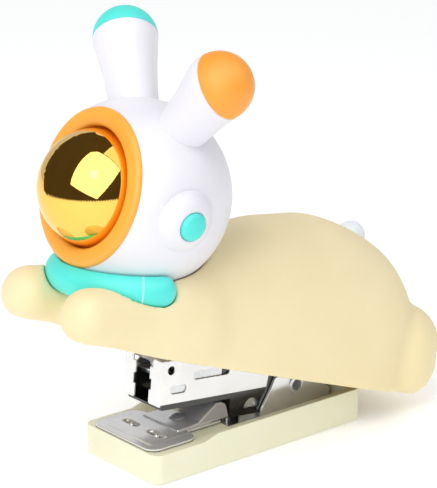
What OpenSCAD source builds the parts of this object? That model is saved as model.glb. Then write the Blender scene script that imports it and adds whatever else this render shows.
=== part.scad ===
// Mini desk stapler with a cover shaped like a lying rabbit in a round space helmet.
// Millimetres. +Z is up, -X is the mouth and the rabbit's face, +X is its tail.
// The origin is the middle of the rubber pad that the base rests on.

/* [Base] */
// Length of the plastic base
base_len = 66; // [60:0.5:80]
// Width of the plastic base
base_w = 28.5; // [26:0.5:36]
// Height of the deck under the anvil
deck_z = 7.4; // [6.5:0.1:9]
// Height of the side rims along the tray
rim_z = 8.6; // [7.8:0.1:10]
// Radius of the upright corners
base_corner_r = 2.4; // [1.5:0.1:4]
// Height of the tray floor that the hinge bracket stands on
tray_z = 3.0; // [2.6:0.1:3.4]
// Thickness of the rubber pad
pad_t = 1.3; // [1:0.1:1.6]
// How far the pad stands below the plastic
pad_proud = 0.3; // [0.2:0.1:0.5]

/* [Hinge] */
// Distance of the hinge pin from the middle of the base
pin_x = 16.5; // [14:0.5:20]
// Height of the hinge pin
pin_z = 11.4; // [11:0.1:13]
// Radius of the tubular hinge pin
pin_r = 2.0; // [1.5:0.1:2.4]
// Wall of the tubular pin
pin_wall = 0.5; // [0.3:0.05:0.7]
// Running clearance around the pin
pin_gap = 0.05; // [0.02:0.01:0.1]
// Sheet thickness of the hinge bracket and the handle frame
sheet_t = 0.8; // [0.6:0.05:1]
// Side clearance between sheets that pass each other
side_gap = 0.15; // [0.1:0.05:0.25]

/* [Magazine] */
// Outer width of the staple magazine
mag_w = 13.8; // [13.6:0.1:16]
// Sheet thickness of the magazine
mag_t = 0.4; // [0.3:0.05:0.5]
// Length from the hinge pin to the nose
mag_len = 43.2; // [40:0.1:47]
// Height of the magazine's top edge above the pin
mag_top = 11.2; // [10.6:0.1:12]
// Resting tilt of the magazine, nose up
mag_pitch = 5.5; // [4:0.5:7]
// Thickness of the black carrier
carrier_t = 0.6; // [0.5:0.05:0.8]
// Length of the strip of staples
strip_len = 17; // [8:0.5:18]
// Leg length of a staple
leg_len = 6.4; // [5:0.1:6.4]
// Wire width of a staple
wire_w = 0.7; // [0.5:0.05:0.8]
// Wire thickness of a staple
wire_t = 0.5; // [0.4:0.05:0.6]
// Length of the pusher block
pusher_len = 5; // [4:0.5:6]

/* [Cover] */
// Resting tilt of the rabbit cover, nose up
cover_pitch = 19; // [17:0.5:21]
// Half width of the rabbit's flanks
flank_y = 21.5; // [20:0.5:25]
// Height of the rump above the pin line
rump_top = 41.2; // [38:0.5:46]
// Height of the cover's lower edge above the pin line
hem_z = 3.4; // [3:0.1:4.5]
// Distance of the front paw tips from the pin
paw_x = 79.4; // [76:0.2:84]
// Radius of a front paw
paw_r = 6.7; // [6:0.1:7.5]
// Spacing of the two front paws
paw_pitch = 27; // [25:0.5:30]
// Distance of the hind feet's ends behind the pin
foot_x = 40.6; // [38:0.2:44]
// Radius of a hind foot
foot_r = 10.2; // [9:0.1:11]
// Spacing of the two hind feet
foot_pitch = 25; // [22:0.5:28]
// Radius of the tail ball
tail_r = 3.7; // [3:0.1:5]

/* [Head] */
// Radius of the round head
head_r = 22.2; // [20:0.2:24]
// Wall of the head
head_wall = 2.2; // [1.6:0.1:2.6]
// Distance of the head's middle ahead of the pin
head_x = 59.2; // [56:0.2:62]
// Height of the head's middle above the pin line
head_z = 37; // [36:0.2:42]
// Sideways cock of the head
head_roll = 10.2; // [0:0.1:12]
// Downward nod of the face against the cover
head_nod = 2.4; // [0:0.1:15]
// Outer radius of the visor ring
ring_r = 18.05; // [16:0.05:19]
// Radius of the golden visor dome
dome_r = 13.5; // [12:0.1:14.5]
// Wall of the visor dome
dome_wall = 1.0; // [0.6:0.1:1.4]
// Radius of an ear at its rounded tip
ear_tip_r = 8.2; // [7:0.1:9]
// Radius of an ear where it leaves the head
ear_root_r = 5.6; // [5:0.1:7]
// Distance of an ear tip's middle from the head's middle
ear_reach = 36.4; // [33:0.1:39]
// Lean of an ear tip away from upright
ear_lean = 30; // [25:0.1:38]
// Radius of the ball that an earphone cup is part of
cup_r = 8.6; // [8:0.1:9.4]
// Radius of an earphone button
button_r = 3.2; // [2.4:0.1:3.8]
// Radius of the scarf roll
scarf_r = 3.4; // [3:0.1:3.5]
// Bend radius of the scarf around the neck
scarf_bend = 14.7; // [13:0.1:16]

/* [Hidden] */
$fn = 64;
eps = 0.01;
big = 200;

// Colours of the real finishes
cream = "#ecdfb4";
base_cream = "#e6e2c4";
helmet_white = "#ececf4";
visor_orange = "#ffb340";
scarf_cyan = "#66f2ea";
steel = "#d9dde2";
black_steel = "#1c1c1e";
dark_rubber = "#3a3a3a";
gold = "#d9a520";

// Base: heights and widths that the steel parts follow
block_z0 = pad_proud;
pad_len = base_len - 10;
pad_w = base_w - 8;
rim_in = base_w / 2 - 1.8;
deck_half = base_w / 2 - 3.4;
step_x = -base_len / 2 + 14.3;
step_run = 4.2;
tray_x0 = -8;
tray_x1 = base_len / 2 - 4;
base_screw_xs = [0, 25];

// Anvil plate
anvil_t = 0.9;
anvil_top = deck_z + anvil_t;
anvil_x0 = -base_len / 2 + 0.4;
anvil_half = base_w / 2 - 2.2;
anvil_corner_r = 3;
anvil_neck_half = 7.6;
anvil_neck_x = step_x;
groove_x = anvil_x0 + 7;
groove_y = 4.8;
groove_len = 5.6;
groove_w = 2;
groove_depth = 0.45;
rivet_x = -15.5;
rivet_r = 1.3;
rivet_head_r = 2.4;
rivet_dome = 1.0;

// Leaf spring under the magazine
spring_t = 0.5;
spring_x0 = -19;
spring_bend_x = -12.6;
spring_x1 = -5.4;

// Hinge bracket in the tray
bracket_x0 = -6;
bracket_x1 = 28;
cheek_x0 = 4.8;
cheek_front_top = [9.6, 14.8];
cheek_flare = 0.7;
band_z = 7.0;

// Widths of the nested sheets, from the staples outwards
mag_half = mag_w / 2;
mag_in = mag_half - mag_t;
carrier_out = mag_in - 0.05;
carrier_in = carrier_out - carrier_t;
cheek_in = carrier_out + side_gap;
cheek_out = cheek_in + sheet_t;
ear_out = carrier_in - side_gap * 2;
ear_in = ear_out - sheet_t + 0.1;
flange_in = mag_half + 0.7;
flange_out = flange_in + sheet_t;

// Magazine, measured in its own frame from the pin
nose_x = -mag_len;
front_t = 0.45;
front_gap_half = 2.7;
mag_z0 = 0.6;
carrier_z0 = -0.9;
carrier_z1 = carrier_z0 + carrier_t;
chamber = 1.45;
strip_x0 = nose_x + front_t + chamber + 0.1;
core_t = 0.6;
core_half = mag_in - wire_w - 0.35;
core_top = 7.0;
core_x1 = -17.6;
crown_z = core_top + wire_t;
strip_x1 = strip_x0 + strip_len;
pusher_x0 = strip_x1 + 0.1;
pusher_x1 = pusher_x0 + pusher_len;
pusher_z0 = 4.2;
rod_r = 0.8;
rod_z = 9.0;
rod_x0 = strip_x0 + 0.7;
wall_x = 4.0;
spring_coil_r = 1.55;
lobe_x0 = -20.8;
lobe_z0 = -5.8;
window_x = -13.7;
window_z = -4.2;
window_r = 2.5;

// Handle frame and driver, measured in the cover's frame from the pin
plate_z = 12;
frame_x0 = -mag_len - 1;
frame_x1 = -16;
ear_r = 3.6;
blade_x = nose_x + front_t + 0.2;
blade_t = 0.5;
blade_z0 = -0.3;
blade_half = mag_in - 0.2;
screw_r = 1.1;
cover_screw_xs = [-32, -20];
cover_screw_up = 8;
// Flat screw heads clear the channel's top when the cover is pressed down
flat_head_t = (plate_z - mag_top) * 0.6;

// Cover shell
paw_y = paw_pitch / 2;
foot_y = foot_pitch / 2;
cavity_half = base_w / 2 + 2.75;
part_gap = 0.1;
seat_gap = 0.25;
tail_x = 13.2;
tail_z = rump_top - 2;
neck_screw_y = 4;
neck_deck_z = 12;

// Head parts, measured in the head's frame: the face looks along -X
ring_x = -sqrt(head_r * head_r - ring_r * ring_r);
cut_x = ring_x + 0.15;
ring_sink = 1.4;
dome_sink = 2.1;
ear_y = ear_reach * sin(ear_lean);
ear_z = ear_reach * cos(ear_lean);
ear_root_x = -0.9;
ear_root_y = 7.5;
ear_root_z = 16.2;
ear_tip_x = -2.6;
ear_len = norm([ear_tip_x - ear_root_x, ear_y - ear_root_y, ear_z - ear_root_z]);
// Half angle of an ear's flare, and the steps and end of the arc at its tip
ear_flare = asin(ear_tip_r / norm([ear_root_r, ear_len])) - atan2(ear_root_r, ear_len);
tip_step = 9;
tip_arc = 45;
stub_r = 3;
cap_tilt = [0.18, 0.74, 0.645];
cup_x = -1.2;
cup_z = 1.2;
cup_rise = 2.1;
cup_y = head_r + cup_rise - cup_r;
button_sink = 0.9;
scarf_x = -54.5;
// The scarf's bend lies against the head: its rest is the slack left between roll and head
scarf_rest = 0.12;
scarf_z = head_z - sqrt(pow(head_r + scarf_r + scarf_rest, 2) - pow(scarf_bend, 2));
scarf_dip = 11.5;
scarf_span = 95;

module in_magazine() { translate([pin_x, 0, pin_z]) rotate([0, mag_pitch, 0]) children(); }
module in_cover() { translate([pin_x, 0, pin_z]) rotate([0, cover_pitch, 0]) children(); }
module in_head() {
    in_cover() translate([-head_x, 0, head_z]) rotate([0, -head_nod, 0]) rotate([head_roll, 0, 0])
        children();
}
// A side profile drawn in X and Z, spread from y0 to y1
module side(y0, y1) { translate([0, y1, 0]) rotate([90, 0, 0]) linear_extrude(y1 - y0) children(); }
// The same profile on both sides of the middle
module both_sides(y0, y1) {
    side(y0, y1) children();
    side(-y1, -y0) children();
}
// A cross-section drawn in Y and Z, spread from x0 to x1
module along(x0, x1) {
    translate([x0, 0, 0]) rotate([90, 0, 90]) linear_extrude(x1 - x0) children();
}
module box(x0, x1, y0, y1, z0, z1) {
    translate([x0, y0, z0]) cube([x1 - x0, y1 - y0, z1 - z0]);
}
module round_plan(x0, x1, half, r) {
    translate([x0 + r, r - half]) square([x1 - x0 - 2 * r, 2 * (half - r)]);
    translate([x0, r - half]) square([x1 - x0, 2 * (half - r)]);
    translate([x0 + r, -half]) square([x1 - x0 - 2 * r, 2 * half]);
    for (x = [x0 + r, x1 - r], y = [r - half, half - r]) translate([x, y]) circle(r);
}
// A slot with round ends, drawn in X and Z
module slot(x0, x1, z, h) {
    translate([x0 + h / 2, z - h / 2]) square([x1 - x0 - h, h]);
    for (x = [x0 + h / 2, x1 - h / 2]) translate([x, z]) circle(h / 2);
}
module pin_hole(r) { rotate([90, 0, 0]) cylinder(r = r, h = 2 * base_w, center = true); }
module pan_screw(x, y, z, up, r = screw_r, head = 2.2, thick = 0.8) {
    translate([x, y, z]) {
        translate([0, 0, -thick]) cylinder(r = head, h = thick);
        cylinder(r = r, h = up);
    }
}

// ---- Base ----
module base_block() {
    color(base_cream) difference() {
        intersection() {
            translate([0, 0, block_z0]) linear_extrude(rim_z)
                round_plan(-base_len / 2, base_len / 2, base_w / 2, base_corner_r);
            side(-base_w, base_w) polygon([[-base_len, 0], [base_len, 0], [base_len, rim_z],
                [step_x + step_run, rim_z], [step_x, deck_z], [-base_len, deck_z]]);
        }
        // deck between the rims, and the tray that holds the hinge bracket
        along(-base_len, tray_x1) polygon([[-deck_half, deck_z], [deck_half, deck_z],
            [rim_in, rim_z + eps], [-rim_in, rim_z + eps]]);
        along(tray_x0, tray_x1) polygon([[-cheek_out - 1, tray_z], [cheek_out + 1, tray_z],
            [deck_half, deck_z + eps], [-deck_half, deck_z + eps]]);
        // recess for the pad
        linear_extrude(pad_t)
            round_plan(-pad_len / 2 - part_gap, pad_len / 2 + part_gap, pad_w / 2 + part_gap, 4);
        translate([rivet_x, 0, 0]) cylinder(r = rivet_r + pin_gap, h = rim_z);
        for (x = base_screw_xs) translate([x, 0, 0]) {
            cylinder(r = screw_r + pin_gap, h = rim_z);
            cylinder(r = 2.2 + part_gap, h = pad_t + 0.8);
        }
    }
}
module base_pad() {
    color(dark_rubber) linear_extrude(pad_t)
        round_plan(-pad_len / 2, pad_len / 2, pad_w / 2, 3.9);
}
module anvil_plate() {
    color(steel) difference() {
        translate([0, 0, deck_z]) linear_extrude(anvil_t) {
            round_plan(anvil_x0, anvil_neck_x, anvil_half, anvil_corner_r);
            translate([anvil_neck_x - 4, -anvil_neck_half])
                square([tray_x0 - anvil_neck_x + 4, 2 * anvil_neck_half]);
        }
        // the two clinching grooves that curl the staple legs
        for (s = [-1, 1]) translate([groove_x, s * groove_y, anvil_top - groove_depth])
            linear_extrude(anvil_t) {
                translate([-groove_w / 2, -groove_len / 2 + groove_w / 2])
                    square([groove_w, groove_len - groove_w]);
                for (e = [-1, 1]) translate([0, e * (groove_len - groove_w) / 2])
                    circle(groove_w / 2);
            }
        translate([rivet_x, 0, 0]) cylinder(r = rivet_r + pin_gap, h = rim_z + 5);
    }
}
module hinge_bracket() {
    tongue_x0 = -0.5;
    tongue_x1 = 6.2;
    tongue_top = 10.9;
    tongue_out = carrier_in - side_gap;
    color(steel) difference() {
        union() {
            box(bracket_x0, bracket_x1, -cheek_out, cheek_out, tray_z, tray_z + sheet_t);
            intersection() {
                union() {
                    for (s = [-1, 1]) along(bracket_x0, bracket_x1)
                        polygon([[s * cheek_in, tray_z], [s * (cheek_out + cheek_flare), tray_z],
                            [s * (cheek_out + cheek_flare), tray_z + sheet_t], [s * cheek_out, band_z],
                            [s * cheek_out, 20], [s * cheek_in, 20]]);
                }
                side(-base_w, base_w) polygon([[cheek_x0, tray_z], [cheek_x0 + 0.2, 7.5],
                    [7.9, 11.8], cheek_front_top, [pin_x - 2, pin_z + 4], [pin_x + 2, pin_z + 3.6],
                    [pin_x + 5, pin_z + 1], [bracket_x1, 8], [bracket_x1, tray_z]]);
            }
            // tongues seen through the carrier's windows, and their stop lugs
            both_sides(tongue_out - sheet_t, tongue_out)
                polygon([[tongue_x0, tray_z], [tongue_x1, tray_z], [tongue_x1, tongue_top - 1],
                    [tongue_x1 - 1.4, tongue_top], [tongue_x0 + 1.4, tongue_top],
                    [tongue_x0, tongue_top - 1]]);
            both_sides(tongue_out - eps, carrier_out - side_gap)
                translate([2.1, 8.65]) square([1.5, 0.35]);
        }
        translate([pin_x, 0, pin_z]) pin_hole(pin_r + pin_gap);
        for (x = base_screw_xs) translate([x, 0, 0]) cylinder(r = screw_r + pin_gap, h = 8);
    }
}
module leaf_spring() {
    rise_z = pin_z + (pin_x - spring_x1 - 2) * tan(mag_pitch) + carrier_z0 - 0.25;
    half = 6.3;
    shoulder = 4.6;
    color(steel) difference() {
        intersection() {
            side(-half, half) polygon([[spring_x0, anvil_top], [spring_bend_x, anvil_top],
                [spring_x1 - 2.5, rise_z - spring_t], [spring_x1, rise_z - spring_t - 0.5],
                [spring_x1, rise_z - 0.5], [spring_x1 - 2.5, rise_z],
                [spring_bend_x, anvil_top + spring_t], [spring_x0, anvil_top + spring_t]]);
            linear_extrude(30) round_plan(spring_x0, spring_x1, half, 1.6);
        }
        translate([rivet_x, 0, 0]) cylinder(r = rivet_r + pin_gap, h = 20);
    }
}
module dome_rivet() {
    head_z0 = anvil_top + spring_t;
    ball = (rivet_head_r * rivet_head_r + rivet_dome * rivet_dome) / (2 * rivet_dome);
    color(steel) translate([rivet_x, 0, 0]) {
        translate([0, 0, pad_t]) cylinder(r = rivet_r, h = head_z0 - pad_t + eps);
        intersection() {
            translate([0, 0, head_z0 + rivet_dome - ball]) sphere(ball);
            translate([0, 0, head_z0]) cylinder(r = rivet_head_r, h = 3);
        }
    }
}
module base_screws() {
    color(steel) for (x = base_screw_xs) pan_screw(x, 0, pad_t + 0.8, tray_z + sheet_t - pad_t + 0.4);
}
module hinge_pin() {
    reach = cheek_out + pin_gap;
    color(steel) translate([pin_x, 0, pin_z]) rotate([90, 0, 0]) difference() {
        union() {
            cylinder(r = pin_r, h = 2 * reach, center = true);
            for (s = [-1, 1]) translate([0, 0, s * (reach + 0.15)])
                cylinder(r = pin_r + 0.5, h = 0.3, center = true);
        }
        cylinder(r = pin_r - pin_wall, h = 4 * reach, center = true);
    }
}

// ---- Magazine ----
module magazine_channel() {
    rear_top = -8;
    rear_bottom = -9.6;
    bridge_x0 = -20;
    bridge_x1 = -14;
    color(steel) in_magazine() {
        difference() {
            both_sides(mag_in, mag_half) polygon([[nose_x, mag_z0], [rear_bottom, mag_z0],
                [rear_top, mag_top], [nose_x, mag_top]]);
            side(-base_w, base_w) {
                slot(nose_x + 3.1, nose_x + 8.1, 3.9, 2);
                slot(nose_x + 10, bridge_x0 - 2, 6.55, 1.9);
                translate([nose_x + 3.1, 8.8]) circle(1.05);
            }
        }
        // the two nose flanges, each notched on its inner edge
        for (s = [-1, 1]) along(nose_x, nose_x + front_t) polygon([[s * mag_half, mag_z0 - 0.4],
            [s * (front_gap_half + 0.4), mag_z0 - 0.4], [s * front_gap_half, mag_z0],
            [s * front_gap_half, 3.6], [s * (front_gap_half + 0.7), 3.6],
            [s * (front_gap_half + 0.7), 6.2], [s * front_gap_half, 6.2],
            [s * front_gap_half, 9.2], [s * (front_gap_half + 1.1), 9.2],
            [s * (front_gap_half + 1.1), mag_top], [s * mag_half, mag_top]]);
        box(bridge_x0, bridge_x1, -mag_in - eps, mag_in + eps, mag_top - mag_t, mag_top);
    }
}
module rail_carrier() {
    floor_x0 = strip_x0 - 0.7;
    floor_x1 = -21.5;
    web_z0 = -5.2;
    color(black_steel) in_magazine() difference() {
        union() {
            box(floor_x0, floor_x1, -carrier_out, carrier_out, carrier_z0, carrier_z1);
            both_sides(carrier_in, carrier_out) polygon([[floor_x0, carrier_z0],
                [floor_x0, mag_z0 + 0.3], [-24, mag_z0 + 0.3], [-20, 3], [-4, 5], [3, 5],
                [wall_x + 0.6, 1], [wall_x + 0.6, web_z0], [-9.5, lobe_z0],
                [lobe_x0 + 1.2, lobe_z0], [lobe_x0, lobe_z0 + 1.2], [lobe_x0, carrier_z0]]);
            box(wall_x, wall_x + 0.6, -carrier_out, carrier_out, web_z0, -ear_r - 0.3);
            box(wall_x, wall_x + 0.6, -ear_in + 0.3, ear_in - 0.3, web_z0, rod_z + 1.6);
        }
        pin_hole(pin_r + pin_gap);
        translate([wall_x - 1, 0, rod_z]) rotate([0, 90, 0]) cylinder(r = rod_r, h = 5);
        // the rivet's head passes into this hole when the nose is down
        translate([rivet_x - pin_x, 0, 2 * carrier_z0])
            cylinder(r = rivet_head_r + 0.5, h = -2 * carrier_z0);
        // half-moon windows for the stop lugs
        side(-base_w, base_w) intersection() {
            translate([window_x, window_z]) circle(window_r);
            translate([window_x - window_r, window_z]) square([2 * window_r, window_r]);
        }
    }
}
module staple_core() {
    color(black_steel) in_magazine() along(strip_x0, core_x1) polygon([
        [-core_half, carrier_z1], [-core_half + core_t, carrier_z1],
        [-core_half + core_t, core_top - core_t], [core_half - core_t, core_top - core_t],
        [core_half - core_t, carrier_z1], [core_half, carrier_z1],
        [core_half, core_top], [-core_half, core_top]]);
}
module guide_rod() {
    color(steel) in_magazine() translate([rod_x0, 0, rod_z]) rotate([0, 90, 0])
        cylinder(r = rod_r, h = wall_x + 0.6 - rod_x0);
}
module staple_strip() {
    out = mag_in - 0.05;
    color(steel) in_magazine() along(strip_x0, strip_x1) polygon([
        [-out, crown_z - leg_len], [-out + wire_w, crown_z - leg_len],
        [-out + wire_w, core_top], [out - wire_w, core_top],
        [out - wire_w, crown_z - leg_len], [out, crown_z - leg_len],
        [out, crown_z], [-out, crown_z]]);
}
module pusher() {
    out = mag_in - 0.15;
    slide_half = core_half + 0.1;
    color(black_steel) in_magazine() difference() {
        box(pusher_x0, pusher_x1, -out, out, pusher_z0, rod_z + 1.3);
        box(pusher_x0 - 1, pusher_x1 + 1, -slide_half, slide_half, -1, core_top + 0.1);
        translate([pusher_x0 - 1, 0, rod_z]) rotate([0, 90, 0])
            cylinder(r = rod_r + pin_gap, h = pusher_len + 2);
    }
}
module pusher_spring() {
    color(steel) in_magazine() translate([pusher_x1 + 0.05, 0, rod_z]) rotate([0, 90, 0])
        difference() {
            cylinder(r = spring_coil_r, h = wall_x - pusher_x1 - 0.1);
            translate([0, 0, -1]) cylinder(r = rod_r + 0.25, h = wall_x - pusher_x1 + 2);
        }
}

// ---- Handle mechanism ----
module handle_frame() {
    color(black_steel) in_cover() difference() {
        union() {
            box(frame_x0, frame_x1, -flange_out, flange_out, plate_z, plate_z + sheet_t);
            box(frame_x1 - eps, -2, -ear_out, ear_out, plate_z, plate_z + sheet_t);
            both_sides(flange_in, flange_out) polygon([[frame_x0, plate_z + sheet_t],
                [frame_x0, hem_z - 1.5], [frame_x0 + 6, hem_z - 0.8], [frame_x0 + 11, hem_z + 1.4],
                [frame_x1, hem_z + 1.4], [frame_x1, plate_z + sheet_t]]);
            both_sides(ear_in, ear_out) {
                circle(ear_r);
                polygon([[-2.6, -2.5], [-12, 8], [-12, plate_z + eps], [-2, plate_z + eps],
                    [ear_r, 0]]);
            }
        }
        pin_hole(pin_r + pin_gap);
        for (x = cover_screw_xs) translate([x, 0, 0]) cylinder(r = screw_r + pin_gap, h = 30);
    }
}
module driver_blade() {
    color(steel) in_cover() {
        box(blade_x, blade_x + blade_t, -blade_half, blade_half, blade_z0, plate_z);
        box(blade_x, blade_x + 5, -blade_half + 2, blade_half - 2, plate_z - blade_t, plate_z);
    }
}
module torsion_spring() {
    coil_in = pin_r + 0.5;
    coil_out = coil_in + 0.9;
    half = ear_in - 0.7;
    color(steel) in_cover() difference() {
        union() {
            rotate([90, 0, 0]) cylinder(r = coil_out, h = 2 * half, center = true);
            side(half - 0.9, half) polygon([[-coil_in, 1], [-9.4, plate_z - 1], [-10, plate_z - 0.1],
                [-9, plate_z - 0.1], [-1, coil_in]]);
            rotate([0, mag_pitch - cover_pitch, 0]) side(-half, 0.9 - half)
                polygon([[-coil_in, -1], [-12, -1.9], [-12, -2.6], [-1, -coil_out + 0.2]]);
        }
        pin_hole(coil_in);
    }
}
module cover_screws() {
    color(steel) in_cover() for (x = cover_screw_xs)
        pan_screw(x, 0, plate_z, cover_screw_up, thick = flat_head_t);
}

// ---- Rabbit cover ----
module flank_ball(x, y, z, r) {
    for (s = [-1, 1]) translate([x, s * y, z]) sphere(r, $fn = 28);
}
module shoulder_balls() {
    flank_ball(-60, flank_y - 10.2, 10, 9);
    flank_ball(-42, 6, 17, 14);
    flank_ball(-30, flank_y - 9.5, 10.5, 9.5);
}
module rump_balls() {
    translate([-5, 0, rump_top - 21.5]) sphere(21.5, $fn = 36);
    flank_ball(0, flank_y - 9, 11, 9);
}
module rabbit_outside() {
    hull() shoulder_balls();
    hull() {
        flank_ball(-42, 6, 17, 14);
        flank_ball(-30, flank_y - 9.5, 10.5, 9.5);
        rump_balls();
    }
    hull() {
        rump_balls();
        flank_ball(14, 5, 21, 16.2);
        flank_ball(21, flank_y - 10, 11, 10);
    }
    for (s = [-1, 1]) {
        hull() for (x = [-paw_x + paw_r, -50])
            translate([x, s * paw_y, paw_r + hem_z - 0.3]) sphere(paw_r, $fn = 28);
        hull() translate([foot_x - foot_r, s * foot_y, foot_r + hem_z + 0.2])
            sphere(foot_r, $fn = 28);
    }
}
module body_shell() {
    boss_r = 3;
    ceiling = 22;
    color(cream) in_cover() difference() {
        rabbit_outside();
        box(-big, big, -big, big, -big, hem_z);
        difference() {
            union() {
                box(-63, -48, -cavity_half + 2, cavity_half - 2, 0, neck_deck_z);
                box(-48 - eps, -38, -cavity_half, cavity_half, 0, plate_z + 2.5);
                box(-38 - eps, 26, -cavity_half, cavity_half, 0, ceiling);
                box(-30, 14, -11, 11, 0, 33);
            }
            // bosses that take the cover screws
            for (x = cover_screw_xs) translate([x, 0, plate_z + sheet_t]) difference() {
                cylinder(r = boss_r, h = 40, $fn = 20);
                cylinder(r = screw_r + part_gap, h = 8, $fn = 16);
            }
        }
        hull() translate([-head_x, 0, head_z]) sphere(head_r + seat_gap, $fn = 48);
        scarf_roll(scarf_r + seat_gap, scarf_span + 4, $fn = 24);
        hull() translate([tail_x, 0, tail_z]) sphere(tail_r + seat_gap, $fn = 24);
        for (s = [-1, 1]) translate([-head_x, s * neck_screw_y, 0])
            cylinder(r = screw_r + part_gap, h = 30, $fn = 16);
    }
}
// The scarf's roll around the neck, from one end to the other past the chest
module scarf_roll(r, span) {
    translate([scarf_x, 0, scarf_z]) rotate([0, -scarf_dip, 0]) rotate([0, 0, 180 - span])
        rotate_extrude(angle = 2 * span) translate([scarf_bend, 0]) circle(r);
}
module scarf() { color(scarf_cyan) in_cover() scarf_roll(scarf_r, scarf_span); }
module tail() {
    color(helmet_white) in_cover() translate([tail_x, 0, tail_z]) sphere(tail_r);
}
module neck_screws() {
    color(steel) in_cover() for (s = [-1, 1])
        pan_screw(-head_x, s * neck_screw_y, neck_deck_z, head_z - head_r - neck_deck_z + 3);
}

// ---- Head ----
module ear_axis(s) {
    run = [ear_tip_x - ear_root_x, s * (ear_y - ear_root_y), ear_z - ear_root_z];
    translate([ear_root_x, s * ear_root_y, ear_root_z])
        rotate([0, acos(run[2] / ear_len), atan2(run[1], run[0])]) children();
}
// A flared horn that runs tangent into its rounded tip, stepped round the tip's arc
module ear_form(s) {
    ear_axis(s) rotate_extrude() polygon(concat([[0, 0], [ear_root_r, 0]],
        [for (a = [-ear_flare : tip_step : tip_arc]) ear_tip_r * [cos(a), sin(a)] + [0, ear_len]],
        [[0, ear_len + ear_tip_r * sin(tip_arc)]]));
}
// At an ear's tip, with +Z along the outward normal of its coloured cap
module cap_turn(s) {
    n = [cap_tilt[0], s * cap_tilt[1], cap_tilt[2]];
    translate([ear_tip_x, s * ear_y, ear_z])
        rotate([0, acos(n[2] / norm(n)), atan2(n[1], n[0])]) children();
}
module ear(s) {
    color(helmet_white) in_head() {
        difference() {
            ear_form(s);
            sphere(head_r + part_gap);
            cap_turn(s) translate([-ear_reach, -ear_reach, 0]) cube(2 * ear_reach);
        }
        intersection() {
            ear_axis(s) cylinder(r = stub_r, h = 16);
            difference() {
                sphere(head_r + 3);
                sphere(head_r - head_wall - 0.5);
            }
        }
    }
}
module ear_cap(s, paint) {
    color(paint) in_head() cap_turn(s) intersection() {
        sphere(ear_tip_r);
        translate([-ear_tip_r, -ear_tip_r, 0]) cube(2 * ear_tip_r);
    }
}
module earphone_cup(s) {
    color(helmet_white) in_head() difference() {
        translate([cup_x, s * cup_y, cup_z]) rotate([90, 0, 0]) sphere(cup_r, $fn = 160);
        rotate([90, 0, 0]) sphere(head_r + part_gap, $fn = 360);
        translate([cup_x, s * (head_r + cup_rise - button_sink), cup_z]) rotate([-s * 90, 0, 0])
            cylinder(r = button_r + part_gap, h = 5);
    }
}
module earphone_button(s) {
    color(scarf_cyan) in_head() translate([cup_x, s * (head_r + cup_rise - button_sink), cup_z])
        rotate([-s * 90, 0, 0]) intersection() {
            cylinder(r = button_r, h = 1.7);
            translate([0, 0, -3.2]) sphere(4.9);
        }
}
module head_shell() {
    color(helmet_white) in_head() difference() {
        rotate([0, -90, 0]) sphere(head_r, $fn = 96);
        rotate([0, -90, 0]) sphere(head_r - head_wall, $fn = 96);
        box(-big, cut_x, -big, big, -big, big);
        rotate([0, -90, 0]) cylinder(r = ring_r - 1.25, h = -cut_x + 1);
        for (s = [-1, 1]) ear_axis(s) cylinder(r = stub_r + part_gap, h = 30);
        rotate([-head_roll, 0, 0]) rotate([0, head_nod, 0]) for (s = [-1, 1])
            translate([0, s * neck_screw_y, -head_r - 5]) cylinder(r = screw_r + pin_gap, h = 10);
    }
}
// The ring and dome turn about the face's axis: radius across, -X to the front
module face_turn() { rotate([0, -90, 0]) rotate_extrude() children(); }
module visor_ring() {
    inner = dome_r + 0.25;
    seat = ring_r - 1.35;
    z = -ring_x;
    color(visor_orange) in_head() face_turn() polygon([[inner, z - ring_sink], [seat, z - ring_sink],
        [seat, z - 0.05], [ring_r, z - 0.05], [ring_r - 0.1, z + 0.5], [ring_r - 0.6, z + 1],
        [ring_r - 1.6, z + 1.25], [inner + 0.8, z + 1.1], [inner + 0.2, z + 0.8], [inner, z + 0.3]]);
}
module visor_dome() {
    flange_t = 0.8;
    z = -ring_x - dome_sink;
    color(gold) in_head() rotate([0, -90, 0]) {
        difference() {
            translate([0, 0, z]) sphere(dome_r);
            translate([0, 0, z]) sphere(dome_r - dome_wall);
            translate([0, 0, -ring_x - ring_sink - flange_t - big / 2]) cube(big, center = true);
        }
        translate([0, 0, -ring_x - ring_sink - flange_t]) difference() {
            cylinder(r = dome_r + 1.4, h = flange_t);
            translate([0, 0, -1]) cylinder(r = dome_r - dome_wall - 0.6, h = 3);
        }
    }
}

base_block();
base_pad();
anvil_plate();
hinge_bracket();
leaf_spring();
dome_rivet();
base_screws();
hinge_pin();
magazine_channel();
rail_carrier();
staple_core();
guide_rod();
staple_strip();
pusher();
pusher_spring();
handle_frame();
driver_blade();
torsion_spring();
cover_screws();
body_shell();
neck_screws();
head_shell();
visor_ring();
visor_dome();
ear(-1);  // ear_left
ear(1);  // ear_right
ear_cap(-1, visor_orange);  // ear_cap_left
ear_cap(1, scarf_cyan);  // ear_cap_right
earphone_cup(-1);  // earphone_cup_left
earphone_cup(1);  // earphone_cup_right
earphone_button(-1);  // earphone_button_left
earphone_button(1);  // earphone_button_right
scarf();
tail();
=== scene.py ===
"""Looks of the rabbit-shaped mini stapler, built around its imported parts.

Lengths in the shape functions are millimetres. Three frames are used beside the world's: the cover's, the
magazine's and the head's, each with the same origin and turn as in part.scad.
"""

import math

import bmesh
import bpy
import numpy as np
from mathutils import Matrix, Vector


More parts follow.
